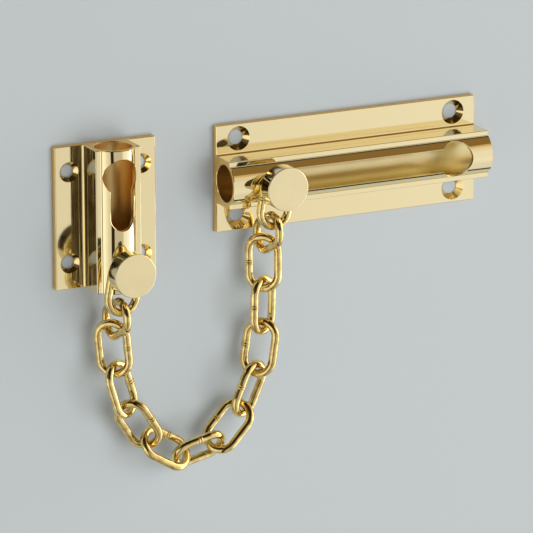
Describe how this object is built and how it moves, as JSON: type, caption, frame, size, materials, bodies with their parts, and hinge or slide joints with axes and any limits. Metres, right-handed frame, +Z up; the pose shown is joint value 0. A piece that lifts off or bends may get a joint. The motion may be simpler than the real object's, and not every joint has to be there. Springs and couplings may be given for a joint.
{
  "type": "door chain",
  "caption": "Door chain: a slotted door plate and a keyhole keeper joined by an oval-link chain with round knobs.",
  "frame": {"origin": "middle of the door bracket's four screw holes, on the door's face behind its plate", "axes": "+Z up, +X along the door bracket away from the keeper, +Y into the door and frame"},
  "size_m": [0.1629, 0.0264, 0.12],
  "materials": {
    "bracket_brass": "polished extruded brass, bores left unpolished",
    "stud_brass": "turned brass",
    "knob_brass": "polished turned brass with a flat face",
    "chain_brass": "polished brass wire"
  },
  "bodies": {
    "brackets": {"door_bracket": "bracket_brass", "keeper_bracket": "bracket_brass", "anchor_stud": "stud_brass", "anchor_knob": "knob_brass"},
    "slider": {"slider_stud": "stud_brass", "slider_knob": "knob_brass"},
    "link_01": {"chain_link_01": "chain_brass"},
    "link_02": {"chain_link_02": "chain_brass"},
    "link_03": {"chain_link_03": "chain_brass"},
    "link_04": {"chain_link_04": "chain_brass"},
    "link_05": {"chain_link_05": "chain_brass"},
    "link_06": {"chain_link_06": "chain_brass"},
    "link_07": {"chain_link_07": "chain_brass"},
    "link_08": {"chain_link_08": "chain_brass"},
    "link_09": {"chain_link_09": "chain_brass"},
    "link_10": {"chain_link_10": "chain_brass"},
    "link_11": {"chain_link_11": "chain_brass"},
    "link_12": {"chain_link_12": "chain_brass"},
    "link_13": {"chain_link_13": "chain_brass"},
    "link_14": {"chain_link_14": "chain_brass"}
  },
  "joints": [
    {"name": "slider_slide", "type": "slide", "parent": "brackets", "child": "slider", "axis": [1, 0, 0], "range_m": [0, 0.07135]},
    {"name": "link_01_swing", "type": "hinge", "parent": "brackets", "child": "link_01", "pos_m": [-0.0931, -0.0185, -0.0237], "axis": [0, -1, 0], "range_deg": [0, 20.1]},
    {"name": "link_02_swing", "type": "hinge", "parent": "link_01", "child": "link_02", "pos_m": [-0.09479, -0.01798, -0.03652], "axis": [0, -1, 0], "range_deg": [0, 17.3]},
    {"name": "link_03_swing", "type": "hinge", "parent": "link_02", "child": "link_03", "pos_m": [-0.09463, -0.00984, -0.0464], "axis": [0, -1, 0], "range_deg": [-2.7, 0]},
    {"name": "link_04_swing", "type": "hinge", "parent": "link_03", "child": "link_04", "pos_m": [-0.09314, -0.00967, -0.06098], "axis": [0, -1, 0], "range_deg": [-2.9, 0]},
    {"name": "link_05_swing", "type": "hinge", "parent": "link_04", "child": "link_05", "pos_m": [-0.08868, -0.00967, -0.07546], "axis": [0, -1, 0], "range_deg": [-7.6, 0]},
    {"name": "link_06_swing", "type": "hinge", "parent": "link_05", "child": "link_06", "pos_m": [-0.08054, -0.00967, -0.08777], "axis": [0, -1, 0], "range_deg": [-11.8, 0]},
    {"name": "link_07_swing", "type": "hinge", "parent": "link_06", "child": "link_07", "pos_m": [-0.06861, -0.00967, -0.09464], "axis": [0, -1, 0], "range_deg": [-13.2, 0]},
    {"name": "link_14_swing", "type": "hinge", "parent": "slider", "child": "link_14", "pos_m": [-0.03475, -0.0185, 0], "axis": [0, -1, 0], "range_deg": [-22.1, 0]},
    {"name": "link_13_swing", "type": "hinge", "parent": "link_14", "child": "link_13", "pos_m": [-0.03635, -0.01798, -0.01284], "axis": [0, -1, 0], "range_deg": [-14.3, 0]},
    {"name": "link_12_swing", "type": "hinge", "parent": "link_13", "child": "link_12", "pos_m": [-0.03634, -0.00984, -0.02272], "axis": [0, -1, 0], "range_deg": [0, 2.3]},
    {"name": "link_11_swing", "type": "hinge", "parent": "link_12", "child": "link_11", "pos_m": [-0.03633, -0.00967, -0.03747], "axis": [0, -1, 0], "range_deg": [0, 2.5]},
    {"name": "link_10_swing", "type": "hinge", "parent": "link_11", "child": "link_10", "pos_m": [-0.03694, -0.00967, -0.05282], "axis": [0, -1, 0], "range_deg": [0, 3.8]},
    {"name": "link_09_swing", "type": "hinge", "parent": "link_10", "child": "link_09", "pos_m": [-0.03948, -0.00967, -0.06782], "axis": [0, -1, 0], "range_deg": [0, 6.3]},
    {"name": "link_08_swing", "type": "hinge", "parent": "link_09", "child": "link_08", "pos_m": [-0.04562, -0.00967, -0.08152], "axis": [0, -1, 0], "range_deg": [0, 9.2]}
  ],
  "couplings": [
    {"joint": "link_01_swing", "follows": "slider_slide", "rad_per_m": 4.8923},
    {"joint": "link_02_swing", "follows": "slider_slide", "rad_per_m": 4.207},
    {"joint": "link_03_swing", "follows": "slider_slide", "rad_per_m": -0.63473},
    {"joint": "link_04_swing", "follows": "slider_slide", "rad_per_m": -0.6965},
    {"joint": "link_05_swing", "follows": "slider_slide", "rad_per_m": -1.8536},
    {"joint": "link_06_swing", "follows": "slider_slide", "rad_per_m": -2.8743},
    {"joint": "link_07_swing", "follows": "slider_slide", "rad_per_m": -3.2239},
    {"joint": "link_14_swing", "follows": "slider_slide", "rad_per_m": -5.3815},
    {"joint": "link_13_swing", "follows": "slider_slide", "rad_per_m": -3.4833},
    {"joint": "link_12_swing", "follows": "slider_slide", "rad_per_m": 0.53805},
    {"joint": "link_11_swing", "follows": "slider_slide", "rad_per_m": 0.58703},
    {"joint": "link_10_swing", "follows": "slider_slide", "rad_per_m": 0.91471},
    {"joint": "link_09_swing", "follows": "slider_slide", "rad_per_m": 1.5163},
    {"joint": "link_08_swing", "follows": "slider_slide", "rad_per_m": 2.2308}
  ]
}
